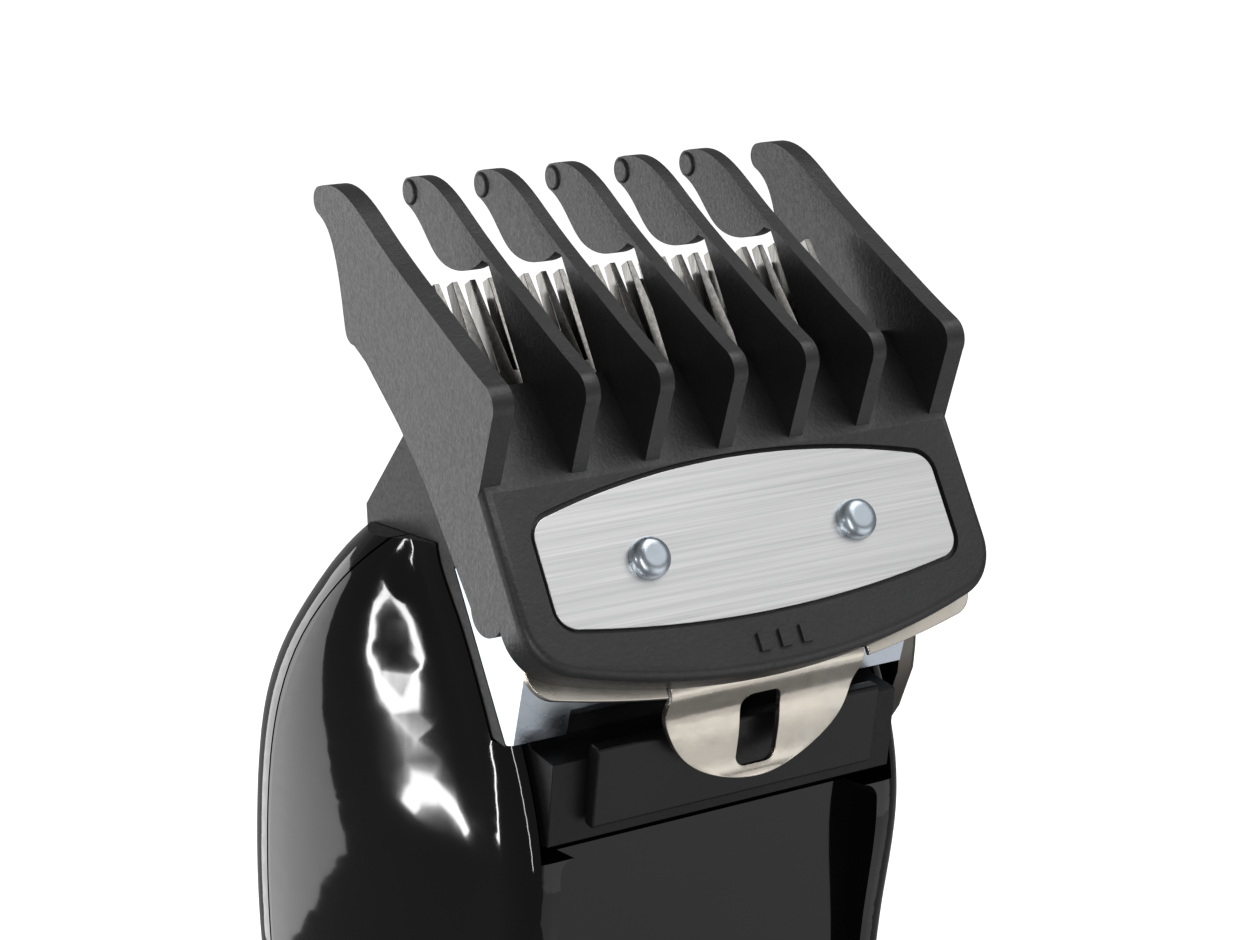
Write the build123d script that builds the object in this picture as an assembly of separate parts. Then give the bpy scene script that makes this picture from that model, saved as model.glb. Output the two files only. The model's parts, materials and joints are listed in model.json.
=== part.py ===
from build123d import *
import os
from math import cos, radians, sin

# Professional hair clipper with a guide comb, in millimetres.
# Origin at the centre of the flat base, +Z up along the body, and -Y is the side laid on the skin.

# Driving dimensions ------------------------------------------------------------------------------
BODY_TOP = 138.0
WALL = 2.4
FRONT_WALL = 5.4
SEAM_GAP = 0.3
HEAD_POINT = Vector(0, -28, 138)  # midpoint between the two comb rivets, on the label plane
HEAD_LEAN = 27.0  # the blades lean back from the vertical by this angle

COMB_HALF_WIDTH = 24.5
COMB_FRONT = 0.55
COMB_BACK = -2.85
TOOTH_THICKNESS = 1.45
OUTER_TOOTH_THICKNESS = 2.0
INNER_TOOTH_X = (0.0, 7.55, 14.91)
RIVET_X = 10.86

BLADE_FRONT = -3.8
BLADE_BACK = -6.3
BLADE_HEEL = -2.6
BLADE_TIP = 27.8
BLADE_HALF_WIDTH = 20.6
BLADE_TEETH = 23
CUTTER_BACK = -7.9
CUTTER_LOW = 9.6
CUTTER_TIP = 26.4
CUTTER_HALF_WIDTH = 16.5
CUTTER_TEETH = 14
RUNNING_GAP = 0.05

BLADE_SCREW_X = 14.5
BLADE_SCREW_V = 1.5
NECK_SCREW_X = 12.0
NECK_SCREW_Z = 109.0

HOLDER_HALF_WIDTH = 20.8
HOLDER_TOP = 5.0
HOLDER_BACK = -13.6
NECK_HALF_WIDTH = 20.7
NECK_CAVITY = 16.2

CRANK_RADIUS = 2.0
CRANK_HALF_ANGLE = 22.5
LEVER_AXIS_Y = -8.0
LEVER_AXIS_Z = 128.0
LEVER_THUMB_Y = 2.0
LEVER_INNER_X = 28.7
LEVER_THICKNESS = 2.4
SHAFT_RADIUS = 3.2

ARM_PIVOT_X = 10.5
ARM_PIVOT_Z = 33.0
CORE_LOW = 50.0
CORE_HIGH = 96.0
CORE_Y = (-1.0, 13.0)
CORE_BACK_X = -18.0
CORE_POLE_X = 1.5
SPRING_Y = 4.0
SPRING_Z = 114.5
SCREW_RADIUS = 1.5
HOLE_RADIUS = SCREW_RADIUS + 0.05

LEAN = radians(HEAD_LEAN)
UP_BLADE = Vector(0, sin(LEAN), cos(LEAN))
OUT_OF_BLADE = Vector(0, -cos(LEAN), sin(LEAN))

# Cross sections of the housing: height, front y, y of the widest point, back y, half width, half
# width of the flat front.
BODY_SECTIONS = (
    (0.0, -20.0, 2.0, 20.0, 22.0, 13.0),
    (25.0, -18.2, 4.5, 23.2, 22.6, 14.0),
    (50.0, -16.6, 8.0, 26.0, 24.2, 15.5),
    (75.0, -17.2, 10.5, 27.4, 26.4, 17.0),
    (95.0, -19.8, 11.5, 27.2, 27.8, 17.8),
    (111.0, -22.9, 9.6, 25.2, 28.2, 18.0),
    (122.0, -20.4, 6.0, 21.8, 28.0, 18.0),
    (130.0, -16.5, 1.0, 15.6, 26.9, 18.0),
    (135.5, -13.6, -3.0, 9.4, 24.9, 18.0),
    (BODY_TOP, -12.4, -4.0, 6.2, 23.2, 18.0),
)
SECTION_COUNT = 24
CAVITY_LOW = 2.8
CAVITY_TOP = BODY_TOP - 4.0


# Planes and plain shapes -------------------------------------------------------------------------
def blade_plane(n=0.0):
    """Plane parallel to the blades, n in front of the label: local x across, y up the blade."""
    return Plane(origin=HEAD_POINT + OUT_OF_BLADE * n, x_dir=(1, 0, 0), z_dir=OUT_OF_BLADE)


def head_side(x):
    """Side view of the head at x: local x up the blade (v), local y out of the blade (n)."""
    return Plane(origin=HEAD_POINT + Vector(x, 0, 0), x_dir=UP_BLADE, z_dir=(1, 0, 0))


def body_side(x):
    """Side view of the body at x: local x is y, local y is z."""
    return Plane(origin=(x, 0, 0), x_dir=(0, 1, 0), z_dir=(1, 0, 0))


def push(plane, face, low, high):
    """Extrudes a flat face from low to high along the plane's normal."""
    start = plane.offset(low)
    return extrude(start * face, amount=high - low, dir=start.z_dir)


def polygon(*points):
    return make_face(Polyline(*points, close=True))


def head_prism(points, x_low, x_high):
    return push(head_side(0), polygon(*points), x_low, x_high)


def body_prism(points, x_low, x_high):
    return push(body_side(0), polygon(*points), x_low, x_high)


def blade_box(x, v, n):
    """Box in the head's frame, from (low, high) pairs."""
    face = Pos((x[0] + x[1]) / 2, (v[0] + v[1]) / 2) * Rectangle(x[1] - x[0], v[1] - v[0])
    return push(blade_plane(), face, n[0], n[1])


def body_box(x, y, z):
    """Box in the body's frame, from (low, high) pairs."""
    centre = Pos((x[0] + x[1]) / 2, (y[0] + y[1]) / 2, (z[0] + z[1]) / 2)
    return centre * Box(x[1] - x[0], y[1] - y[0], z[1] - z[0])


def blade_cylinder(x, v, n, radius):
    return push(blade_plane(), Pos(x, v) * Circle(radius), n[0], n[1])


def cross_cylinder(x, y, z, radius):
    """Cylinder along X."""
    return push(body_side(0), Pos(y, z) * Circle(radius), x[0], x[1])


def depth_cylinder(x, y, z, radius):
    """Cylinder along Y."""
    plane = Plane(origin=(x, 0, z), x_dir=(1, 0, 0), z_dir=(0, 1, 0))
    return push(plane, Circle(radius), y[0], y[1])


def head_point(v, n):
    """The (y, z) of a point given up the blade and out of it."""
    point = HEAD_POINT + UP_BLADE * v + OUT_OF_BLADE * n
    return (point.Y, point.Z)


def ribbon(points, thickness):
    """Flat face of a bent strip of sheet whose middle line passes through the points."""
    left = []
    right = []
    for index, point in enumerate(points):
        before = Vector(*points[max(index - 1, 0)])
        after = Vector(*points[min(index + 1, len(points) - 1)])
        along = (after - before).normalized()
        side = Vector(-along.Y, along.X) * (thickness / 2)
        middle = Vector(*point)
        left.append(middle + side)
        right.append(middle - side)
    right.reverse()
    return make_face([Spline(*left), Line(left[-1], right[0]), Spline(*right), Line(right[-1], left[0])])


def slotted_screw(head_radius, head_height, shank_radius, length):
    """Pan head screw along +Z: the head's underside at z = 0 and the shank below it."""
    head = fillet(Cylinder(head_radius, head_height, align=BOTTOM).edges().group_by(Axis.Z)[-1],
                  head_height * 0.45)
    slot = Pos(0, 0, head_height * 0.45) * Box(head_radius * 2.2, 0.8, head_height, align=BOTTOM)
    shank = Cylinder(shank_radius, length, align=TOP)
    return head - slot + shank


BOTTOM = (Align.CENTER, Align.CENTER, Align.MIN)
TOP = (Align.CENTER, Align.CENTER, Align.MAX)


# Housing -----------------------------------------------------------------------------------------
def body_section(z, front, wide, back, half_width, flat):
    """One closed cross section: flat front, tight ridges, swelling sides and a round back."""
    ridge = (flat + 3.6, front + 4.2)
    rise = wide - ridge[1]
    right = [
        Bezier((flat, front), (flat + 2.2, front), (flat + 2.9, front + 1.4), ridge),
        Bezier(ridge, (ridge[0] + 0.05 * rise, ridge[1] + 0.2 * rise), (half_width, wide - 0.42 * rise),
               (half_width, wide)),
        Bezier((half_width, wide), (half_width, wide + 0.62 * (back - wide)),
               (0.6 * half_width, back), (0, back)),
    ]
    left = [mirror(edge, about=Plane.YZ) for edge in right]
    face = make_face([Line((-flat, front), (flat, front)), *right, *left])
    return Pos(0, 0, z) * face


def table_slope(index, column):
    """Slope of one column of the section table, from the rows on either side."""
    below = BODY_SECTIONS[max(index - 1, 0)]
    above = BODY_SECTIONS[min(index + 1, len(BODY_SECTIONS) - 1)]
    return (above[column] - below[column]) / (above[0] - below[0])


def section_at(z):
    """Section values at height z, by cubic interpolation of the table."""
    index = max(i for i, row in enumerate(BODY_SECTIONS[:-1]) if row[0] <= z)
    low, high = BODY_SECTIONS[index], BODY_SECTIONS[index + 1]
    span = high[0] - low[0]
    t = (z - low[0]) / span
    values = []
    for column in range(1, len(low)):
        start = table_slope(index, column) * span
        end = table_slope(index + 1, column) * span
        rise = high[column] - low[column]
        values.append(low[column] + t * start + t * t * (3 * rise - 2 * start - end)
                      + t ** 3 * (start + end - 2 * rise))
    return values


def body_heights():
    return [BODY_TOP * index / SECTION_COUNT for index in range(SECTION_COUNT + 1)]


def body_outside():
    return loft([body_section(z, *section_at(z)) for z in body_heights()])


def body_cavity():
    sections = []
    for z in body_heights():
        front, wide, back, half_width, flat = section_at(z)
        height = CAVITY_LOW + z / BODY_TOP * (CAVITY_TOP - CAVITY_LOW)
        sections.append(body_section(height, front + FRONT_WALL, wide, back - WALL,
                                     half_width - WALL, flat - WALL))
    return loft(sections)


def back_region(shift):
    """Everything behind the seam between the two housing shells."""
    seam = Spline((7, -5), (8, 20), (10.5, 50), (12.5, 80), (12, 97), (9.2, 115.2), (4.2, 126.7),
                  (-4.5, 136.6), (-10, 142))
    face = make_face([seam, Polyline((-10, 142), (-10, 150), (60, 150), (60, -5), (7, -5))])
    return push(body_side(0), Pos(shift, 0) * face, -40, 40)


def front_panel_cut():
    """The shallow panel between the front ridges, fading out down the body."""
    curve = Spline((-20.0, 111.7), (-18.6, 104), (-17.6, 95), (-16.3, 80), (-15.9, 66), (-16.9, 50))
    face = make_face([curve, Polyline((-16.9, 50), (-40, 50), (-40, 111.7), (-20.0, 111.7))])
    return fillet(push(body_side(0), face, -17.2, 17.2).edges().filter_by(Axis.Y), 1.5)


def neck_outline(gap=0.0):
    """Side outline (y, z) of the neck, grown by gap where it passes through the housing."""
    return (
        head_point(17.8, -10.3),
        head_point(18.6, -14.4),
        (2.0 + gap, 139.5),
        (2.0 + gap, 126.0 - gap),
        head_point(-10.9 - gap * 5, HOLDER_BACK - 0.3 + gap * 4),
        head_point(HOLDER_TOP + 0.2, HOLDER_BACK - 0.3 + gap * 4),
        head_point(HOLDER_TOP + 0.2, -10.3),
    )


HOUSING_SCREWS = ((16.0, 12.0, 14.0), (22.4, 119.0, 11.5))  # x, z and seat y
CORE_SCREWS = ((-15.0, 53.5), (-15.0, 92.5))
CLAMP_SCREWS = ((7.6, 24.0), (13.4, 24.0))


def screw_posts(radius, y):
    """Posts round the housing screws, along Y."""
    return [depth_cylinder(side * x, y, z, radius) for x, z, _ in HOUSING_SCREWS for side in (-1, 1)]


def screw_holes():
    return [depth_cylinder(side * x, (-8, 40), z, HOLE_RADIUS)
            for x, z, _ in HOUSING_SCREWS for side in (-1, 1)]


def front_housing(outside, cavity):
    """Front shell with the posts and bosses that carry the drive."""
    hollow = cavity
    for post in screw_posts(3.6, (-40, 12)):
        hollow -= post
    for x, z in CORE_SCREWS:
        hollow -= depth_cylinder(x, (-40, CORE_Y[0] - 0.05), z, 3.6)
    hollow -= body_box((6.2, 14.8), (-40, -1.1), (18.5, 29.5))
    hollow -= cross_cylinder((-40, -17.4), SPRING_Y, SPRING_Z, 3.4)
    hollow -= cross_cylinder((19.5, 40), SPRING_Y, SPRING_Z, 4.2)
    hollow -= cross_cylinder((21.0, 40), LEVER_AXIS_Y, LEVER_AXIS_Z, 6.4)
    shell = outside - back_region(-SEAM_GAP / 2) - hollow
    shell += cross_cylinder((25.0, 28.4), LEVER_AXIS_Y, LEVER_AXIS_Z, 6.4)
    for hole in screw_holes():
        shell -= hole
    for x, z in CORE_SCREWS:
        shell -= depth_cylinder(x, (-10, 0), z, HOLE_RADIUS)
    for x, z in CLAMP_SCREWS:
        shell -= depth_cylinder(x, (-8, 0), z, 1.25)
    shell -= cross_cylinder((18, 30), SPRING_Y, SPRING_Z, 2.6 + RUNNING_GAP)
    shell -= cross_cylinder((15, 30), LEVER_AXIS_Y, LEVER_AXIS_Z, SHAFT_RADIUS + RUNNING_GAP)
    shell -= front_panel_cut()
    shell -= body_box((-19, 19), (-40, -13.2), (111.7, 130))
    shell -= neck_opening()
    shell -= head_prism(((-11.4, -14.2), (-11.4, 5), (30, 5), (30, -14.2)), -26, 26)
    shell -= switch_pocket()
    shell -= body_box((-24, -15), (0.8, 4.2), (37.6, 46.4))
    shell -= Cylinder(5.3, 8)
    for x in (-NECK_SCREW_X, NECK_SCREW_X):
        shell -= depth_cylinder(x, (-18.6, -10), NECK_SCREW_Z, 1.3)
    return largest(shell)


def neck_opening():
    """Room for the neck in the top of both shells."""
    return body_prism(neck_outline(0.15), -NECK_HALF_WIDTH - 0.15, NECK_HALF_WIDTH + 0.15)


def switch_pocket():
    """Flat pocket in the left side for the sliding switch."""
    return fillet(body_box((-30, -23.2), (-3.5, 8.0), (30, 54)).edges().filter_by(Axis.X), 2.0)


def back_housing(outside, cavity):
    hollow = cavity
    for post in screw_posts(4.8, (0, 30)):
        hollow -= post
    shell = (outside & back_region(SEAM_GAP / 2)) - hollow
    for x, z, seat in HOUSING_SCREWS:
        for side in (-1, 1):
            shell -= depth_cylinder(side * x, (seat, 40), z, 3.4)
    for hole in screw_holes():
        shell -= hole
    shell -= neck_opening()
    shell -= switch_pocket()
    return largest(shell)


def largest(shape):
    """The main solid of a cut shape, without crumbs."""
    return shape.solids().sort_by(SortBy.VOLUME)[-1]


def housing_screws():
    screws = []
    for x, z, seat in HOUSING_SCREWS:
        for side in (-1, 1):
            plane = Plane(origin=(side * x, seat, z), x_dir=(1, 0, 0), z_dir=(0, 1, 0))
            screws.append(plane * slotted_screw(2.9, 2.0, SCREW_RADIUS, seat + 6))
    return Compound(children=screws)


# Neck and blades ---------------------------------------------------------------------------------
def neck_frame():
    """Moulded neck that carries the blades; hollow, so that the drive passes up through it."""
    neck = body_prism(neck_outline(), -NECK_HALF_WIDTH, NECK_HALF_WIDTH)
    neck = fillet(neck.edges().filter_by(Axis.X).sort_by(Axis.Z)[-2:], 1.2)
    wall = HOLDER_BACK - 0.3 - 2.1
    cavity = body_prism(
        (
            head_point(16.2, -8.5),
            head_point(16.2, -13.0),
            (-0.3, 137.0),
            (-0.3, 104),
            (-18.7, 104),
            head_point(-12.0, wall),
            head_point(HOLDER_TOP + 0.4, wall),
            head_point(HOLDER_TOP + 0.4, -8.5),
        ),
        -NECK_CAVITY,
        NECK_CAVITY,
    )
    block = body_prism(
        ((-24.3, 120.8), (-20.9, 121.5), (-17, 125), (-13.5, 125), (-13.5, 106.5), (-16.2, 106.5),
         (-16.9, 112.2), (-22.9, 113.2)),
        -18.4,
        18.4,
    )
    block -= body_prism(((-13.6, 100), (-16.2, 128), (0, 128), (0, 100)), -15, 15)
    for side in (-1, 1):
        block -= body_box(sorted((side * 16.9, side * 20)), (-30, 0), (100, 111.9))
    neck = neck - cavity + block
    for side in (-1, 1):
        neck -= blade_cylinder(side * BLADE_SCREW_X, BLADE_SCREW_V, (-20, -10), 1.65)
        neck -= depth_cylinder(side * NECK_SCREW_X, (-20, -10), NECK_SCREW_Z, 1.3)
    neck -= cross_cylinder((15, 30), LEVER_AXIS_Y, LEVER_AXIS_Z, SHAFT_RADIUS + RUNNING_GAP)
    return largest(neck)


def neck_screws():
    screws = []
    for side in (-1, 1):
        origin = (side * NECK_SCREW_X, -13.4, NECK_SCREW_Z)
        plane = Plane(origin=origin, x_dir=(1, 0, 0), z_dir=(0, 1, 0))
        screws.append(plane * slotted_screw(2.3, 1.6, 1.25, 5.0))
    return Compound(children=screws)


def blade_guard_plate():
    plate = body_prism(((-26.3, 122.0), (-24.8, 122.3), (-23.45, 114.9), (-24.7, 114.5)), -15, 15)
    return fillet(plate.edges().filter_by(Axis.X), 0.4)


def blade_holder():
    """Plated bracket under the blades: slanting back face with an ear at each rear corner."""
    holder = head_prism(
        (
            (BLADE_HEEL - 0.3, BLADE_FRONT - 0.1),
            (-11.1, -12.4),
            (-10.8, HOLDER_BACK),
            (HOLDER_TOP, HOLDER_BACK),
            (HOLDER_TOP, BLADE_BACK - 0.05),
            (BLADE_HEEL - 0.3, BLADE_BACK - 0.05),
        ),
        -HOLDER_HALF_WIDTH,
        HOLDER_HALF_WIDTH,
    )
    holder -= blade_box((-15.5, 15.5), (-14, -9.4), (-16, -2))
    holder = fillet(holder.edges().filter_by(GeomType.LINE).filter_by(Axis.X).sort_by(Axis.Z)[:2], 0.35)
    holder -= blade_box((-10.5, 10.5), (-7.6, 2.8), (-15, -8.8))
    for side in (-1, 1):
        holder -= blade_cylinder(side * BLADE_SCREW_X, BLADE_SCREW_V, (-15, -2), 1.65)
    return holder


def toothed_outline(half_width, low, root, tip, count, tooth_share, tip_share):
    """Flat blade outline with a row of tapering teeth along its top edge."""
    pitch = 2 * half_width / count
    points = [(-half_width, low)]
    for index in range(count):
        centre = -half_width + (index + 0.5) * pitch
        points.append((centre - pitch * tooth_share / 2, root))
        points.append((centre - pitch * tip_share / 2, tip))
        points.append((centre + pitch * tip_share / 2, tip))
        points.append((centre + pitch * tooth_share / 2, root))
    points.append((half_width, low))
    return polygon(*points)


def fixed_blade():
    """Flat blade against the skin, its teeth thinned towards their tips."""
    outline = toothed_outline(BLADE_HALF_WIDTH, BLADE_HEEL, 19.0, BLADE_TIP, BLADE_TEETH, 0.8, 0.3)
    blade = push(blade_plane(), outline, BLADE_BACK, BLADE_FRONT)
    blade -= head_prism(((16.5, BLADE_FRONT), (29, -5.3), (29, 0), (16.5, 0)), -25, 25)
    for side in (-1, 1):
        place = blade_plane(BLADE_FRONT - 1.6) * Pos(side * BLADE_SCREW_X, BLADE_SCREW_V)
        blade -= place * Cone(1.65, 3.3, 1.65, align=BOTTOM)
        blade -= blade_cylinder(side * BLADE_SCREW_X, BLADE_SCREW_V, (-8, -3), 1.65)
    return blade


def blade_screws():
    screws = []
    for side in (-1, 1):
        place = blade_plane(BLADE_FRONT - 1.55) * Pos(side * BLADE_SCREW_X, BLADE_SCREW_V)
        head = Cone(1.6, 3.1, 1.5, align=BOTTOM)
        slot = Pos(0, 0, 0.9) * Box(7, 0.7, 1, align=BOTTOM)
        screws.append(place * (head - slot + Cylinder(1.6, 10.4, align=TOP)))
    return Compound(children=screws)


def cutter_blade():
    """Moving blade: a groove for the guide rib and a slot for the drive finger in its back."""
    outline = toothed_outline(CUTTER_HALF_WIDTH, CUTTER_LOW, 17.6, CUTTER_TIP, CUTTER_TEETH, 0.72, 0.34)
    blade = push(blade_plane(), outline, CUTTER_BACK, BLADE_BACK - RUNNING_GAP)
    blade -= blade_box((-20, 20), (10.92, 12.08), (-9, -7.15))
    blade -= head_prism(((20, CUTTER_BACK), (28, -7.0), (28, -9)), -25, 25)
    blade -= blade_box((-1.35, 1.35), (12.6, 16.6), (-9, -6.9))
    return blade


def taper_slide():
    """Carriage that guides the cutter sideways and moves it back when the lever is turned."""
    plate = blade_box((-15.6, 15.6), (7.2, 13.4), (-9.5, -8.3))
    rib = blade_box((-15.6, 15.6), (11.0, 12.0), (-8.3, -7.25))
    window = blade_box((-2.4, 2.4), (12.2, 15), (-10, -7))
    leg = head_prism(
        ((9.8, -9.4), (9.8, -15.0), (3.2, -23.0), (-1.4, -23.0), (-1.4, -18.9), (7.2, -17.0), (7.2, -9.4)),
        10.5,
        14.4,
    )
    pin_v, pin_n = crank_pin()
    slot = Pos(pin_v, pin_n + 0.08) * Rectangle(2.0 + 2 * RUNNING_GAP, 2.5)
    return plate + rib - window + leg - push(head_side(0), slot, 9, 16)


def crank_pin():
    """Place (v, n) of the lever's eccentric pin with the lever at rest."""
    centre = Vector(0, LEVER_AXIS_Y, LEVER_AXIS_Z) - HEAD_POINT
    angle = radians(CRANK_HALF_ANGLE)
    return (centre.dot(UP_BLADE) + CRANK_RADIUS * sin(angle),
            centre.dot(OUT_OF_BLADE) + CRANK_RADIUS * cos(angle))


def tension_spring():
    """Flat spring on the carriage whose two prongs press the cutter on the fixed blade."""
    spring = blade_box((-13, 10.3), (8.0, 10.4), (-10.1, -9.55))
    prong = ribbon(((9.0, -9.83), (11.5, -9.83), (13.6, -9.83), (15.6, -9.2), (17.4, -8.4), (18.8, -8.6)),
                   0.5)
    for x in (-8, 8):
        spring += push(head_side(0), prong, x - 1.3, x + 1.3)
    return spring


def taper_lever():
    """Thumb lever outside the right shell, with its shaft and eccentric pin."""
    outer = LEVER_INNER_X + LEVER_THICKNESS
    hub = Pos(LEVER_AXIS_Y, LEVER_AXIS_Z) * Circle(7.0)
    arm = polygon((-12.8, 127), (-12.2, 120), (-11.8, 117.7), (-9.6, 113.4), (-5.0, 108), (-1.8, 98),
                  (LEVER_THUMB_Y + 3.8, 98), (4.4, 108), (0.6, 116), (-1.4, 127))
    thumb = Pos(LEVER_THUMB_Y, 98) * Circle(3.8)
    plate = push(body_side(0), hub + arm + thumb, LEVER_INNER_X, outer)
    plate = fillet(plate.edges().group_by(Axis.X)[-1], 0.9)
    for index in range(4):
        z = 96.6 + index * 2.2
        rib_y = (LEVER_THUMB_Y - 2.6, LEVER_THUMB_Y + 2.6)
        rib = body_box((outer - 0.5, outer + 0.9), rib_y, (z - 0.5, z + 0.5))
        plate += fillet(rib.edges().group_by(Axis.X)[-1], 0.35)
    shaft = cross_cylinder((14.7, LEVER_INNER_X + 0.5), LEVER_AXIS_Y, LEVER_AXIS_Z, SHAFT_RADIUS)
    pin_v, pin_n = crank_pin()
    pin_y, pin_z = head_point(pin_v, pin_n)
    pin = cross_cylinder((10.4, 15.0), pin_y, pin_z, 1.0)
    hole = cross_cylinder((outer - 6, outer + 1), LEVER_AXIS_Y, LEVER_AXIS_Z, HOLE_RADIUS)
    return plate + shaft + pin - hole


def lever_screw():
    outer = LEVER_INNER_X + LEVER_THICKNESS
    plane = Plane(origin=(outer + 0.02, LEVER_AXIS_Y, LEVER_AXIS_Z), x_dir=(0, 1, 0), z_dir=(1, 0, 0))
    return plane * slotted_screw(3.0, 1.6, SCREW_RADIUS, 5.0)


# Drive -------------------------------------------------------------------------------------------
def armature_arm():
    """Long arm that the coil swings from side to side about a flat spring at its lower end."""
    plane = Plane(origin=(0, 0, 0), x_dir=(1, 0, 0), z_dir=(0, -1, 0))
    outline = polygon((8.6, 36), (12.4, 36), (12.4, 101.5), (4.8, 111), (4.8, 118), (-4.8, 118),
                      (-4.8, 108), (8.6, 97))
    arm = push(plane, outline, -9, -1)
    arm += body_box((-4.8, 4.8), (-3.3, 2), (108.5, 118))
    arm -= body_box((9.85, 11.15), (-2, 12), (30, 45))
    arm -= depth_cylinder(0, (-5, 3), 112.5, 1.25)
    return arm


def armature_plates():
    """Laminated iron on the arm, facing the poles of the coil's core."""
    plates = []
    count = 7
    pitch = (CORE_Y[1] - CORE_Y[0]) / count
    for index in range(count):
        low = CORE_Y[0] + index * pitch
        plates.append(body_box((3.1, 8.55), (low, low + pitch - 0.08), (CORE_LOW, CORE_HIGH)))
    return Compound(children=plates)


def drive_fork():
    """Bent strip from the top of the arm to the cutter, ending in the drive finger."""
    strip = body_prism(((-3.4, 109), (-3.4, 136.5), (-10.9, 145.6), (-12.5, 144.1), (-5.5, 135.7),
                        (-5.5, 109)), -3.6, 3.6)
    finger = blade_box((-1.2, 1.2), (12.95, 14.6), (-12.6, -7.0))
    return strip + finger - depth_cylinder(0, (-7, 0), 112.5, 1.25)


def fork_screw():
    plane = Plane(origin=(0, -5.55, 112.5), x_dir=(1, 0, 0), z_dir=(0, -1, 0))
    return plane * slotted_screw(2.3, 1.5, 1.2, 6.5)


def arm_leaf_spring():
    return body_box((10.1, 10.9), (0, 10), (19, 44))


def leaf_clamp():
    clamp = body_box((6.2, 14.8), (-1, 11), (18.5, 29.5)) - body_box((10.08, 10.92), (-2, 12), (18, 30))
    jaws = clamp + body_box((6.2, 14.8), (10.02, 12.5), (18.5, 29.5))
    for x, z in CLAMP_SCREWS:
        jaws -= depth_cylinder(x, (-2, 20), z, 1.25)
    return jaws


def frame_screws():
    """Screws of the coil core and of the spring clamp."""
    screws = []
    for x, z in CORE_SCREWS:
        plane = Plane(origin=(x, CORE_Y[1] + 0.02, z), x_dir=(1, 0, 0), z_dir=(0, 1, 0))
        screws.append(plane * slotted_screw(2.8, 2.0, SCREW_RADIUS, CORE_Y[1] + 8))
    for x, z in CLAMP_SCREWS:
        plane = Plane(origin=(x, 12.52, z), x_dir=(1, 0, 0), z_dir=(0, 1, 0))
        screws.append(plane * slotted_screw(2.1, 1.6, 1.2, 18.5))
    return Compound(children=screws)


def coil_core():
    """Laminated three-legged core, its legs pointing at the armature."""
    core = body_box((CORE_BACK_X, -12), CORE_Y, (CORE_LOW, CORE_HIGH))
    for low, high in ((CORE_LOW, 57), (68, 78), (89, CORE_HIGH)):
        core += body_box((-12.5, CORE_POLE_X), CORE_Y, (low, high))
    for x, z in CORE_SCREWS:
        core -= depth_cylinder(x, (-5, 20), z, HOLE_RADIUS)
    return core


def ring_box(x, y, z, hole_y, hole_z, corner):
    """Rectangular ring about the core's middle leg, with rounded long edges."""
    ring = fillet(body_box(x, y, z).edges().filter_by(Axis.X), corner)
    return ring - body_box((x[0] - 1, x[1] + 1), hole_y, hole_z)


def coil_bobbin():
    bore_y = (CORE_Y[0] - 0.1, CORE_Y[1] + 0.1)
    bore_z = (67.9, 78.1)
    bobbin = ring_box((-11.6, 0.6), (-2.1, 14.1), (66.9, 79.1), bore_y, bore_z, 0.4)
    for x in ((-11.6, -10.5), (-0.5, 0.6)):
        bobbin += ring_box(x, (-8.5, 20.5), (58.2, 87.8), bore_y, bore_z, 2.5)
    return bobbin


def coil_winding():
    return ring_box((-10.48, -0.52), (-8.0, 20.0), (58.7, 87.3), (-2.12, 14.12), (66.88, 79.12), 4.5)


def tuning_springs():
    """The pair of springs that centre the arm, one on each side of it."""
    springs = []
    for start in (-17.0, 6.2):
        path = Helix(pitch=1.75, height=10.5, radius=2.5)
        wire = Plane(origin=path @ 0, z_dir=path % 0) * Circle(0.4)
        coil = sweep(wire, path=path)
        plane = Plane(origin=(start, SPRING_Y, SPRING_Z), x_dir=(0, 1, 0), z_dir=(1, 0, 0))
        springs.append(plane * coil)
    return Compound(children=springs)


def power_screw():
    """Slotted screw in the right side that sets the preload of the arm's spring."""
    rod = cross_cylinder((17.6, 27.3), SPRING_Y, SPRING_Z, 2.6)
    rod = chamfer(rod.edges().group_by(Axis.X)[-1], 0.4)
    return rod - body_box((26.2, 28), (SPRING_Y - 3, SPRING_Y + 3), (SPRING_Z - 0.45, SPRING_Z + 0.45))


# Electrical parts --------------------------------------------------------------------------------
def switch_slider():
    """Ribbed thumb pad in the left side with its stem into the switch."""
    pad = body_box((-25.2, -23.4), (-2.0, 7.0), (33.5, 47.5))
    pad = fillet(pad.edges().filter_by(Axis.X), 1.6)
    pad = fillet(pad.edges().group_by(Axis.X)[0], 0.6)
    for index in range(5):
        z = 36.3 + index * 2.1
        pad -= body_box((-26, -24.8), (-3, 8), (z - 0.4, z + 0.4))
    return pad + body_box((-23.6, -17.4), (1.1, 3.9), (38.0, 42.0))


def switch_body():
    case = body_box((-18.3, -12.3), (-1.2, 6.6), (30, 49.2))
    case -= body_box((-21, -16.9), (0.8, 4.2), (37.6, 46.4))
    return case


def terminal_block():
    block = body_box((-9, 9), (-9, -1.5), (12, 18.4))
    for x in (-5, 0, 5):
        block -= Pos(x, -5.2, 15.5) * Cylinder(1.4, 8, align=BOTTOM)
    return block


def lead_wires():
    routes = (
        ((-7.4, -3.5, 18.42), (-7.4, -3.5, 24), (-15, 2, 24), (-15, 2, 29.98)),
        ((2.5, -3.5, 18.42), (2.5, -3.5, 44), (-6, -5.2, 50), (-6, -5.2, 58.68)),
    )
    wires = []
    for route in routes:
        path = FilletPolyline(*route, radius=2.0)
        wires.append(sweep(Plane(origin=path @ 0, z_dir=path % 0) * Circle(0.8), path=path))
    return Compound(children=wires)


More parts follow.
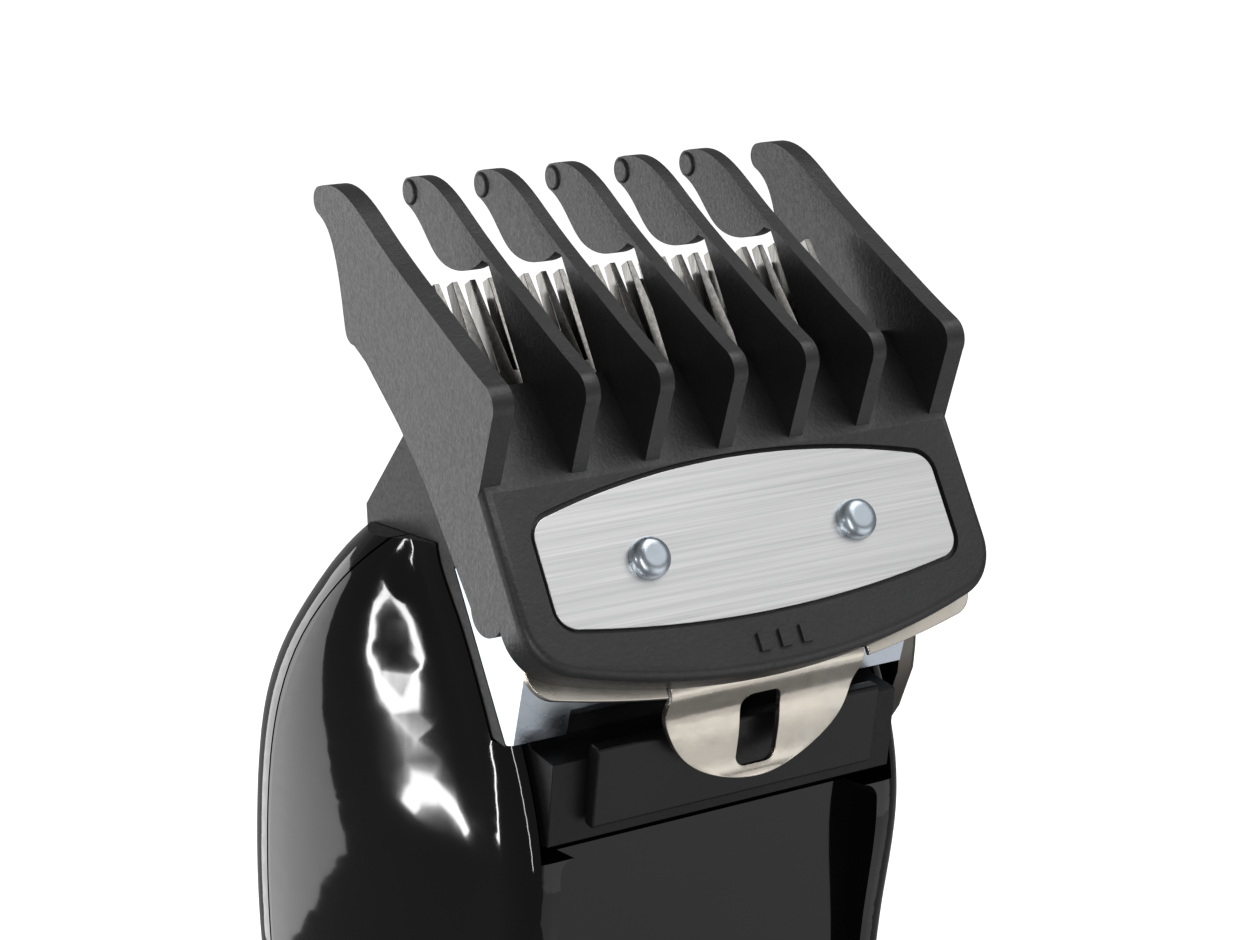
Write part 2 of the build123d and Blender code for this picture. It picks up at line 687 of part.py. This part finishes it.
def cord_gland():
    """Rubber bush in the base that the mains cord enters by."""
    bush = Cylinder(5.25, 11.6, align=BOTTOM)
    flange = Pos(0, 0, CAVITY_LOW + 0.05) * Cylinder(7.2, 2.0, align=BOTTOM)
    return bush + flange - Cylinder(3.1, 40)


# Guide comb --------------------------------------------------------------------------------------
def bowed_outline(half_width, corner, bow, corner_radius, top):
    """Outline with straight sides, a bowed lower edge and round lower corners."""
    lower = ThreePointArc((-half_width, corner), (0, bow), (half_width, corner))
    sides = Polyline((half_width, corner), (half_width, top), (-half_width, top), (-half_width, corner))
    face = make_face([lower, sides])
    return fillet(face.vertices().sort_by(Axis.Y)[:2], corner_radius)


def label_outline(grow=0.0):
    top = ThreePointArc((-20.9 - grow, 4.6 + grow), (0, 7.4 + grow), (20.9 + grow, 4.6 + grow))
    bottom = ThreePointArc((20.9 + grow, -4.4 - grow), (0, -6.3 - grow), (-20.9 - grow, -4.4 - grow))
    face = make_face([top, Line(top @ 1, bottom @ 0), bottom, Line(bottom @ 1, top @ 0)])
    return fillet(face.vertices(), 2.0 + grow)


def tooth_profile(back_edges):
    """Side outline (v, n) of a tooth: common front edge, crest, root and round tip, given back edges."""
    front = Spline((39.95, -11.5), (38.7, -8.9), (32.6, -4.8), (22.9, 0.9), (15.2, 5.8))
    crest = ThreePointArc((15.2, 5.8), (13.7, 6.1), (12.4, 5.2))
    root = Line((12.4, 5.2), (7.4, -0.6))
    tip = ThreePointArc((38.1, -13.1), (39.5, -13.05), (39.95, -11.5))
    return make_face([front, crest, root, *back_edges, tip])


def inner_tooth(x):
    hook = Spline((28.9, -3.6), (29.4, -7.4), (32.0, -10.6), (35.4, -11.7), (38.1, -13.1))
    back_edges = (Polyline((7.4, -0.6), (7.4, COMB_BACK), (28.3, COMB_BACK), (28.9, -3.6)), hook)
    half = TOOTH_THICKNESS / 2
    tooth = push(head_side(0), tooth_profile(back_edges), x - half, x + half)
    return tooth + tooth_bulb(x, TOOTH_THICKNESS + 0.45)


def outer_tooth(side):
    """Side tooth that runs back along the blade as a rail with a rounded end."""
    rail_end = Spline((0.3, -1.4), (-2.7, -2.2), (-3.2, -3.9), (-2.4, -6.0), (0, -6.4))
    rail = Polyline((0, -6.4), (11.7, -8.1), (17.2, -9.6), (23.8, -12.1), (25.8, -13.3))
    hook = Spline((25.8, -13.3), (26.8, -14.1), (28.3, -13.8), (33.3, -12.3), (35.6, -12.1), (38.1, -13.1))
    back_edges = (Line((7.4, -0.6), (0.3, -1.4)), rail_end, rail, hook)
    outer = COMB_HALF_WIDTH
    inner = COMB_HALF_WIDTH - OUTER_TOOTH_THICKNESS
    tooth = push(head_side(0), tooth_profile(back_edges), inner, outer)
    tooth += tooth_bulb((inner + outer) / 2, OUTER_TOOTH_THICKNESS)
    return tooth if side > 0 else mirror(tooth, about=Plane.YZ)


def tooth_bulb(x, width):
    bulb = push(head_side(0), Pos(38.7, -11.9) * Circle(1.25), x - width / 2, x + width / 2)
    return fillet(bulb.edges().filter_by(GeomType.CIRCLE), 0.5)


def comb_body():
    plate = push(blade_plane(), bowed_outline(COMB_HALF_WIDTH, -7.1, -11.3, 5.0, 17.2), COMB_BACK, COMB_FRONT)
    front_face = plate.faces().sort_by(Axis(HEAD_POINT, OUT_OF_BLADE))[-1]
    plate = fillet(front_face.edges().sort_by(Axis(HEAD_POINT, UP_BLADE))[:-1], 0.9)
    plate -= head_prism(((7.6, COMB_FRONT), (9.2, 0.2), (17.3, -2.0), (17.3, 3), (7.6, 3)), -30, 30)
    recess = push(blade_plane(), label_outline(0.35), 0.0, 3.0)
    comb = plate - recess
    for x in INNER_TOOTH_X:
        comb += inner_tooth(x)
        if x > 0:
            comb += inner_tooth(-x)
    for side in (-1, 1):
        comb += outer_tooth(side)
        comb -= blade_cylinder(side * RIVET_X, 0, (-5, 2), 1.35)
    for x in (-2.2, 0, 2.2):
        comb += blade_box((x - 0.55, x + 0.55), (-9.6, -8.0), (COMB_FRONT - 0.2, COMB_FRONT + 0.3))
    return largest(comb)


def comb_label():
    plate = push(blade_plane(), label_outline(), 0.03, 0.45)
    for side in (-1, 1):
        plate -= blade_cylinder(side * RIVET_X, 0, (-1, 2), 1.35)
    return plate


def comb_clip_plate():
    """Spring steel plate riveted behind the comb, showing past its lower corners."""
    outline = bowed_outline(23.3, -9.0, -11.9, 2.5, -3.7) + bowed_outline(22.2, -8.6, -11.7, 2.5, 6.5)
    plate = push(blade_plane(), outline, -3.45, COMB_BACK - 0.02)
    plate -= blade_box((-10.6, 10.6), (-13, -9.9), (-5, 0))
    for side in (-1, 1):
        plate -= blade_cylinder(side * RIVET_X, 0, (-5, 2), 1.35)
    return plate


def comb_rivets():
    rivets = []
    for side in (-1, 1):
        dome = fillet(Cylinder(1.85, 1.35, align=BOTTOM).edges().group_by(Axis.Z)[-1], 1.0)
        shank = Cylinder(1.3, 3.9, align=TOP)
        rivets.append(blade_plane(0.48) * Pos(side * RIVET_X, 0) * (dome + shank))
    return Compound(children=rivets)


def comb_clip_tab():
    """Thumb tab of the clip: a bent half disc with a slot, a ridge at its root and a curled lip."""
    root = head_point(-10.3, -3.15)
    strip = ribbon((root, (-29.9, 126.2), (-29.2, 125.2), (-28.6, 124.2), (-28.3, 122.4), (-27.9, 120.4),
                    (-27.5, 118.6), (-27.6, 117.5), (-28.1, 116.9)), 0.6)
    tab = push(body_side(0), strip, -10.2, 10.2)
    curve = Spline((-10.2, 127.6), (-10.0, 124.4), (-8.7, 121.2), (-5.4, 118.4), (0, 117.2),
                   (5.4, 118.4), (8.7, 121.2), (10.0, 124.4), (10.2, 127.6))
    outline = make_face([curve, Line((10.2, 127.6), (-10.2, 127.6))])
    outline -= Pos(0, 121.6) * RectangleRounded(4.2, 6.8, 1.1)
    front_view = Plane(origin=(0, -40, 0), x_dir=(1, 0, 0), z_dir=(0, -1, 0))
    return tab & extrude(front_view * outline, amount=-30)


# Output ------------------------------------------------------------------------------------------
def main():
    os.makedirs("parts", exist_ok=True)
    outside = body_outside()
    cavity = body_cavity()
    export_step(front_housing(outside, cavity), "parts/front_housing.step")
    export_step(back_housing(outside, cavity), "parts/back_housing.step")
    for build in (housing_screws, neck_frame, neck_screws, blade_guard_plate, blade_holder, fixed_blade,
                  blade_screws, cutter_blade, taper_slide, tension_spring, taper_lever, lever_screw,
                  armature_arm, armature_plates, drive_fork, fork_screw, arm_leaf_spring, leaf_clamp,
                  frame_screws, coil_core, coil_bobbin, coil_winding, tuning_springs, power_screw,
                  switch_slider, switch_body, terminal_block, lead_wires, cord_gland, comb_body,
                  comb_label, comb_clip_plate, comb_rivets, comb_clip_tab):
        print(build.__name__, flush=True)
        export_step(build(), f"parts/{build.__name__}.step")


main()
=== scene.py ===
import json
from math import pi, radians

import bmesh
import bpy
from mathutils import Matrix, Vector

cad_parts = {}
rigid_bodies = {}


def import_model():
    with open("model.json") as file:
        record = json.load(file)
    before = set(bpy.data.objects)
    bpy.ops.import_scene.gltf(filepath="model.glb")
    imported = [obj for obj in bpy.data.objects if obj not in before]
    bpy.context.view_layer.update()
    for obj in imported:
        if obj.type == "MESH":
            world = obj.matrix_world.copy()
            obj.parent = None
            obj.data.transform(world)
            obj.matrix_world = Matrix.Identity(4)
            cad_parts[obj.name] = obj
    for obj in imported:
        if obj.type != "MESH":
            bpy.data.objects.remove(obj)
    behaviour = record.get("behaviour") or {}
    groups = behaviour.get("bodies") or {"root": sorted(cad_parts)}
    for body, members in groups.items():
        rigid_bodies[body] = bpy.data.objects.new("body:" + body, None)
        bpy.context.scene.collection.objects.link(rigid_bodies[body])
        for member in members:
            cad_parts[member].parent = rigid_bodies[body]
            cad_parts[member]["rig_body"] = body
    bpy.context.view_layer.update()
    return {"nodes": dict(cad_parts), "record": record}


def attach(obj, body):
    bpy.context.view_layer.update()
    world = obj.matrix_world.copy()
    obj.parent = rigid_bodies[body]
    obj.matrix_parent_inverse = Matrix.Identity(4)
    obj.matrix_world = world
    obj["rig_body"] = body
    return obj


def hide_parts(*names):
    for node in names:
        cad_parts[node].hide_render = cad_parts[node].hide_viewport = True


# Visual model of a hair clipper with a guide comb. Metres, in the CAD frame: origin at the centre of
# the base, +Z up the body, -Y towards the skin. The CAD nodes keep their places; those with visible
# edges are stood for by copies whose edges are rounded.

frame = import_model()
nodes = frame["nodes"]
slot_of = {part["node"]: part["material_slot"] for part in frame["record"]["subparts"]}

HEAD_LEAN = 27.0  # degrees that the blades lean back from the vertical

# Ways the grain runs: how much each axis is stretched, and the turn in degrees that lines it up.
ACROSS = (0.008, 1, 1)
UP = (1, 1, 0.03)
ALONG_SCREW = (1, 0.05, 0.05)
HAIRLINES = (1, 1, 0.03)
LEANING = (-HEAD_LEAN, 0, 0)
UPRIGHT = (0, 0, 0)
HAIRLINE_TURN = (8, 12, 0)

# Sockets of the colour mix node, whose names repeat for each data type.
MIX_FIRST = 6
MIX_SECOND = 7
MIX_RESULT = 2

# Width of the rounded edges of each visible node.
ROUNDED = {
    "comb_body": 0.0003,
    "comb_label": 0.00008,
    "comb_clip_tab": 0.00016,
    "comb_clip_plate": 0.00012,
    "blade_holder": 0.00025,
    "neck_frame": 0.0003,
    "blade_guard_plate": 0.00015,
    "fixed_blade": 0.00006,
    "cutter_blade": 0.00006,
    "taper_lever": 0.0002,
    "switch_slider": 0.0002,
    "cord_gland": 0.0003,
}
EDGE_SEGMENTS = 3
EDGE_ANGLE = 32  # degrees; a flatter edge than this stays as it is
MERGE_DISTANCE = 1e-6
FLAT_ANGLE = 0.4  # degrees between faces that count as one flat

# Camera: where it stands, and the directions of its own axes.
CAMERA_PLACE = (-0.141838, -0.224339, 0.194093)
CAMERA_RIGHT = (0.8316189, -0.5542853, -0.0343197)
CAMERA_UP = (0.1393872, 0.1485097, 0.9790384)
CAMERA_BACK = (-0.5375697, -0.8189705, 0.2007637)
CAMERA_LENS = 84.59
CAMERA_SENSOR = 36

# Points that the lights are aimed at.
HEAD_MIDDLE = (0.0, -0.02, 0.13)
LEFT_RIDGE = (-0.024, -0.008, 0.122)
FRONT_RIDGE = (-0.020, -0.022, 0.114)
WORLD_STRENGTH = 0.22
FLOOR_REACH = 15
FLOOR_GLOW = 0.9


# Material nodes ----------------------------------------------------------------------------------
class Finish:
    """A Principled material under construction, with helpers for its procedural inputs."""

    def __init__(self, name, **constants):
        self.material = bpy.data.materials.new(name)
        self.material.use_nodes = True
        self.tree = self.material.node_tree
        self.shader = self.tree.nodes["Principled BSDF"]
        self.coords = self.tree.nodes.new("ShaderNodeTexCoord")
        for socket, value in constants.items():
            self.shader.inputs[socket.replace("_", " ")].default_value = value

    def link(self, source, target):
        self.tree.links.new(source, target)

    def place(self, stretch=(1, 1, 1), turn=UPRIGHT):
        """Object coordinates, stretched and turned to follow the surface's grain."""
        mapping = self.tree.nodes.new("ShaderNodeMapping")
        mapping.inputs["Rotation"].default_value = [radians(angle) for angle in turn]
        mapping.inputs["Scale"].default_value = stretch
        self.link(self.coords.outputs["Object"], mapping.inputs["Vector"])
        return mapping.outputs["Vector"]

    def noise(self, scale, detail=2.0, rough=0.5, stretch=(1, 1, 1), turn=UPRIGHT, warp=0.0):
        """Noise with the given number of features to the metre."""
        node = self.tree.nodes.new("ShaderNodeTexNoise")
        node.inputs["Scale"].default_value = scale
        node.inputs["Detail"].default_value = detail
        node.inputs["Roughness"].default_value = rough
        node.inputs["Distortion"].default_value = warp
        self.link(self.place(stretch, turn), node.inputs["Vector"])
        return node.outputs["Fac"]

    def waves(self, scale, axis, warp):
        """Soft bands along an axis."""
        node = self.tree.nodes.new("ShaderNodeTexWave")
        node.bands_direction = axis
        node.inputs["Scale"].default_value = scale
        node.inputs["Distortion"].default_value = warp
        self.link(self.place(), node.inputs["Vector"])
        return node.outputs["Fac"]

    def spread(self, value, low, high, start=0.3, end=0.7):
        """Value between start and end, spread over low to high."""
        node = self.tree.nodes.new("ShaderNodeMapRange")
        node.inputs["From Min"].default_value = start
        node.inputs["From Max"].default_value = end
        node.inputs["To Min"].default_value = low
        node.inputs["To Max"].default_value = high
        self.link(value, node.inputs["Value"])
        return node.outputs["Result"]

    def blend_colours(self, value, first, second, start=0.3, end=0.7):
        """Colour from first to second as value goes from start to end."""
        ramp = self.tree.nodes.new("ShaderNodeValToRGB")
        for stop, position, colour in zip(ramp.color_ramp.elements, (start, end), (first, second)):
            stop.position = position
            stop.color = (*colour, 1)
        self.link(value, ramp.inputs["Fac"])
        return ramp.outputs["Color"]

    def colour(self, value, first, second, start=0.3, end=0.7):
        self.link(self.blend_colours(value, first, second, start, end), self.shader.inputs["Base Color"])

    def roughness(self, value, low, high):
        self.link(self.spread(value, low, high), self.shader.inputs["Roughness"])

    def relief(self, *layers):
        """Bump from (value, depth in metres) layers, coarsest first. Returns the finished material."""
        normal = None
        for value, depth in layers:
            bump = self.tree.nodes.new("ShaderNodeBump")
            bump.inputs["Strength"].default_value = 1.0
            bump.inputs["Distance"].default_value = depth
            self.link(value, bump.inputs["Height"])
            if normal:
                self.link(normal, bump.inputs["Normal"])
            normal = bump.outputs["Normal"]
        self.link(normal, self.shader.inputs["Normal"])
        return self.material


def moulded(name, dark, light, roughness, grain, grain_depth, coat=0.0, specular=0.5):
    """Moulded plastic: faint shade patches, uneven sheen and a fine spark-eroded grain."""
    finish = Finish(name, Metallic=0.0, IOR=1.5, Specular_IOR_Level=specular, Coat_Weight=coat,
                    Coat_Roughness=0.3)
    patches = finish.noise(90, detail=4)
    fine = finish.noise(grain, detail=3, rough=0.65)
    finish.colour(patches, dark, light)
    finish.roughness(fine, roughness - 0.06, roughness + 0.08)
    return finish.relief((finish.noise(700, detail=2), grain_depth * 0.8), (fine, grain_depth))


def polished(name, dark, light):
    """High gloss plastic: deep colour, faint waviness, slight haze and hairline scratches."""
    finish = Finish(name, Metallic=0.0, IOR=1.45, Specular_IOR_Level=0.3, Coat_Weight=0.35,
                    Coat_Roughness=0.03, Coat_IOR=1.4)
    haze = finish.noise(55, detail=5, rough=0.6)
    hairlines = finish.noise(900, detail=3, stretch=HAIRLINES, turn=HAIRLINE_TURN)
    finish.colour(haze, dark, light)
    finish.roughness(haze, 0.05, 0.08)
    return finish.relief((finish.noise(60, detail=1), 0.000006), (hairlines, 0.000001))


def brushed(name, dark, light, roughness, stretch, turn):
    """Metal with a directional grain: streaks in colour, sheen and relief."""
    finish = Finish(name, Metallic=1.0)
    streaks = finish.noise(4200, detail=4, rough=0.6, stretch=stretch, turn=turn)
    broad = finish.noise(630, detail=2, stretch=stretch, turn=turn)
    finish.colour(streaks, dark, light, 0.25, 0.75)
    finish.roughness(broad, roughness - 0.05, roughness + 0.08)
    return finish.relief((streaks, 0.000002))


def plated(name, dark, light, tint, roughness, pits):
    """Bright plating over sheet metal: clouded sheen, a shifting tint and small pits."""
    finish = Finish(name, Metallic=1.0)
    clouds = finish.noise(160, detail=5, rough=0.6, warp=0.6)
    base = finish.blend_colours(clouds, dark, light)
    mix = finish.tree.nodes.new("ShaderNodeMix")
    mix.data_type = "RGBA"
    mix.inputs[MIX_SECOND].default_value = (*tint, 1)
    finish.link(finish.spread(finish.noise(260, detail=3), 0.0, 0.8), mix.inputs["Factor"])
    finish.link(base, mix.inputs[MIX_FIRST])
    finish.link(mix.outputs[MIX_RESULT], finish.shader.inputs["Base Color"])
    finish.roughness(clouds, roughness - 0.07, roughness + 0.12)
    speckle = finish.noise(2400, detail=3, rough=0.7)
    return finish.relief((finish.noise(220, detail=3), pits * 4), (speckle, pits))


def banded(name, dark, light, roughness, scale, axis, depth):
    """Wound wire or stacked sheets: fine bands along one axis."""
    finish = Finish(name, Metallic=1.0)
    bands = finish.waves(scale, axis, warp=0.2)
    finish.colour(bands, dark, light, 0.15, 0.6)
    finish.roughness(finish.noise(300, detail=3), roughness - 0.05, roughness + 0.1)
    return finish.relief((bands, depth))


# How each material slot is made: the function, then its values after the name.
#   polished: dark and light shade
#   moulded: dark and light shade, roughness, grains to the metre, grain depth
#   brushed: dark and light shade, roughness, stretch of the grain, its turn
#   plated: dark and light shade, tint, roughness, pit depth
#   banded: dark and light shade, roughness, bands, their axis, their depth
SLOT_FINISHES = {
    "housing_black": (polished, (0.0016, 0.0016, 0.0018), (0.0034, 0.0034, 0.0038)),
    "neck_black": (moulded, (0.004, 0.004, 0.0044), (0.009, 0.009, 0.0096), 0.42, 2600, 0.000008),
    "guard_black": (moulded, (0.003, 0.003, 0.0033), (0.007, 0.007, 0.0074), 0.34, 3200, 0.000005),
    "comb_black": (moulded, (0.0095, 0.0098, 0.0105), (0.0165, 0.0170, 0.0180), 0.44, 2600, 0.00005),
    "slider_black": (moulded, (0.006, 0.006, 0.0063), (0.012, 0.012, 0.0125), 0.5, 2400, 0.00001),
    "switch_case": (moulded, (0.02, 0.02, 0.022), (0.035, 0.035, 0.038), 0.5, 2000, 0.000008),
    "bobbin_plastic": (moulded, (0.5, 0.48, 0.42), (0.62, 0.6, 0.53), 0.45, 1800, 0.000008),
    "terminal_plastic": (moulded, (0.55, 0.53, 0.48), (0.68, 0.66, 0.6), 0.4, 1800, 0.000008),
    "fork_plastic": (moulded, (0.6, 0.6, 0.58), (0.72, 0.72, 0.7), 0.42, 2000, 0.000006),
    "wire_sleeve": (moulded, (0.32, 0.02, 0.015), (0.42, 0.035, 0.025), 0.4, 1500, 0.000006),
    "gland_rubber": (moulded, (0.006, 0.006, 0.006), (0.013, 0.013, 0.013), 0.68, 1500, 0.00002),
    "label_metal": (brushed, (0.56, 0.565, 0.57), (0.80, 0.80, 0.80), 0.34, ACROSS, LEANING),
    # Painted shade: the fixed blade's steel is set darker than the cutter's, standing for the shade it
    # lies in between the comb teeth.
    "blade_steel": (brushed, (0.14, 0.135, 0.13), (0.34, 0.33, 0.31), 0.3, UP, LEANING),
    "cutter_steel": (brushed, (0.30, 0.30, 0.30), (0.52, 0.52, 0.52), 0.28, ACROSS, LEANING),
    "slide_steel": (brushed, (0.42, 0.42, 0.42), (0.60, 0.60, 0.60), 0.34, ACROSS, LEANING),
    "spring_steel": (brushed, (0.38, 0.38, 0.40), (0.56, 0.56, 0.58), 0.3, ACROSS, UPRIGHT),
    "power_brass": (brushed, (0.62, 0.42, 0.16), (0.80, 0.58, 0.26), 0.3, ALONG_SCREW, UPRIGHT),
    "zinc_plate": (plated, (0.44, 0.50, 0.56), (0.70, 0.76, 0.80), (0.60, 0.64, 0.74), 0.27, 0.000008),
    "rivet_zinc": (plated, (0.42, 0.47, 0.52), (0.68, 0.73, 0.77), (0.52, 0.60, 0.68), 0.30, 0.00001),
    "clip_nickel": (plated, (0.46, 0.43, 0.38), (0.72, 0.69, 0.63), (0.66, 0.60, 0.52), 0.27, 0.00001),
    "screw_steel": (plated, (0.34, 0.34, 0.35), (0.55, 0.55, 0.57), (0.5, 0.5, 0.46), 0.3, 0.000008),
    "lever_metal": (plated, (0.10, 0.095, 0.09), (0.19, 0.18, 0.17), (0.15, 0.13, 0.115), 0.36, 0.00001),
    "die_cast": (plated, (0.36, 0.36, 0.37), (0.52, 0.52, 0.54), (0.45, 0.44, 0.42), 0.48, 0.00002),
    "lamination": (banded, (0.10, 0.10, 0.105), (0.32, 0.32, 0.33), 0.42, 320, "Y", 0.00004),
    "copper_wire": (banded, (0.34, 0.10, 0.035), (0.78, 0.33, 0.14), 0.3, 520, "X", 0.00006),
}
SHEENS = {
    "neck_black": {"specular": 0.25},
    "guard_black": {"specular": 0.3},
    "comb_black": {"coat": 0.15},
}


def make_finishes():
    return {slot: make(slot, *values, **SHEENS.get(slot, {}))
            for slot, (make, *values) in SLOT_FINISHES.items()}


# Meshes ------------------------------------------------------------------------------------------
def set_finish(mesh, slot):
    mesh.materials.clear()
    mesh.materials.append(finishes[slot])


def add_piece(name, mesh, node):
    """Links a mesh as a piece that stands for a CAD node, with the node's body and finish."""
    piece = bpy.data.objects.new(name, mesh)
    bpy.context.scene.collection.objects.link(piece)
    set_finish(mesh, slot_of[node])
    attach(piece, nodes[node]["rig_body"])
    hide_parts(node)
    return piece


def joined_mesh(node):
    """The CAD node's mesh with its faces joined along shared edges and its flats merged."""
    mesh = bpy.data.meshes.new(f"{node}_soft")
    bm = bmesh.new()
    bm.from_mesh(nodes[node].data)
    bmesh.ops.remove_doubles(bm, verts=bm.verts, dist=MERGE_DISTANCE)
    bmesh.ops.dissolve_limit(bm, angle_limit=radians(FLAT_ANGLE), verts=bm.verts, edges=bm.edges,
                             delimit={"NORMAL"})
    bm.to_mesh(mesh)
    bm.free()
    for polygon in mesh.polygons:
        polygon.use_smooth = True
    return mesh


def add_rounded(node, width):
    """Copy of a CAD node with every sharp edge rounded, as moulding, casting or deburring leaves it."""
    piece = add_piece(f"{node}_rounded", joined_mesh(node), node)
    bevel = piece.modifiers.new("rounded edges", "BEVEL")
    bevel.width = width
    bevel.segments = EDGE_SEGMENTS
    bevel.limit_method = "ANGLE"
    bevel.angle_limit = radians(EDGE_ANGLE)
    bevel.use_clamp_overlap = True
    shading = piece.modifiers.new("flat faces stay flat", "WEIGHTED_NORMAL")
    shading.weight = 100
    shading.keep_sharp = False


# Stage -------------------------------------------------------------------------------------------
def make_floor():
    """Pale, faintly uneven paper, lit evenly from within and left out of reflections and bounces."""
    mesh = bpy.data.meshes.new("floor")
    bm = bmesh.new()
    bmesh.ops.create_grid(bm, x_segments=8, y_segments=8, size=FLOOR_REACH)
    bm.to_mesh(mesh)
    bm.free()
    floor = bpy.data.objects.new("floor", mesh)
    bpy.context.scene.collection.objects.link(floor)
    finish = Finish("floor_paper", Metallic=0.0, Roughness=0.9, Specular_IOR_Level=0.0,
                    Emission_Strength=FLOOR_GLOW)
    shade = finish.blend_colours(finish.noise(3, detail=3), (0.93, 0.93, 0.93), (0.96, 0.96, 0.96))
    finish.link(shade, finish.shader.inputs["Base Color"])
    finish.link(shade, finish.shader.inputs["Emission Color"])
    mesh.materials.append(finish.material)
    floor.visible_glossy = False
    floor.visible_diffuse = False


def add_softbox(name, location, target, size, radiance, along=(0, 0, 1)):
    """Rectangular area light aimed at a point, its second side lying towards the given direction."""
    light = bpy.data.lights.new(name, "AREA")
    light.shape = "RECTANGLE"
    light.size, light.size_y = size
    light.energy = radiance * pi * size[0] * size[1]
    lamp = bpy.data.objects.new(name, light)
    back = (Vector(location) - Vector(target)).normalized()
    side = Vector(along).cross(back).normalized()
    turn = Matrix((side, back.cross(side), back)).transposed().to_4x4()
    lamp.matrix_world = Matrix.Translation(location) @ turn
    lamp.visible_camera = False
    bpy.context.scene.collection.objects.link(lamp)


def add_strip(name, start, end, width, radiance, target):
    """Narrow softbox between two points."""
    start, end = Vector(start), Vector(end)
    add_softbox(name, (start + end) / 2, target, (width, (end - start).length), radiance, end - start)


def make_lights():
    """Two strips for the housing's narrow highlights, and boxes and cards for the rest."""
    add_strip("left_strip", (-0.41, -0.045, 0.215), (-0.376, 0.139, 0.002), 0.008, 36.0, LEFT_RIDGE)
    add_strip("front_strip", (-0.276, -0.327, 0.246), (-0.154, -0.243, 0.02), 0.016, 22.0, FRONT_RIDGE)
    for name, location, size, radiance in (
        ("top_box", (0.35, -0.30, 1.0), (0.8, 0.6), 2.6),
        ("front_box", (0.50, -0.68, 0.62), (0.7, 0.5), 0.68),
        ("left_card", (-0.36, 0.62, 0.06), (0.6, 0.5), 2.2),
        ("near_card", (0.09, -0.16, 0.03), (0.20, 0.14), 0.6),
        ("low_card", (0.22, -0.42, 0.02), (0.5, 0.3), 0.45),
    ):
        add_softbox(name, location, HEAD_MIDDLE, size, radiance)


def make_world():
    world = bpy.data.worlds.new("studio")
    world.use_nodes = True
    background = world.node_tree.nodes["Background"]
    background.inputs["Color"].default_value = (1, 1, 1, 1)
    background.inputs["Strength"].default_value = WORLD_STRENGTH
    bpy.context.scene.world = world
    bpy.context.scene.view_settings.view_transform = "Standard"


def make_camera():
    data = bpy.data.cameras.new("camera")
    data.lens = CAMERA_LENS
    data.sensor_width = CAMERA_SENSOR
    data.sensor_fit = "HORIZONTAL"
    data.clip_start = 0.02
    data.clip_end = 60
    camera = bpy.data.objects.new("camera", data)
    turn = Matrix((CAMERA_RIGHT, CAMERA_UP, CAMERA_BACK)).transposed().to_4x4()
    camera.matrix_world = Matrix.Translation(CAMERA_PLACE) @ turn
    bpy.context.scene.collection.objects.link(camera)
    bpy.context.scene.camera = camera


# Scene -------------------------------------------------------------------------------------------
finishes = make_finishes()
for node, shape in nodes.items():
    set_finish(shape.data, slot_of[node])
for node, width in ROUNDED.items():
    add_rounded(node, width)
make_floor()
make_lights()
make_world()
make_camera()
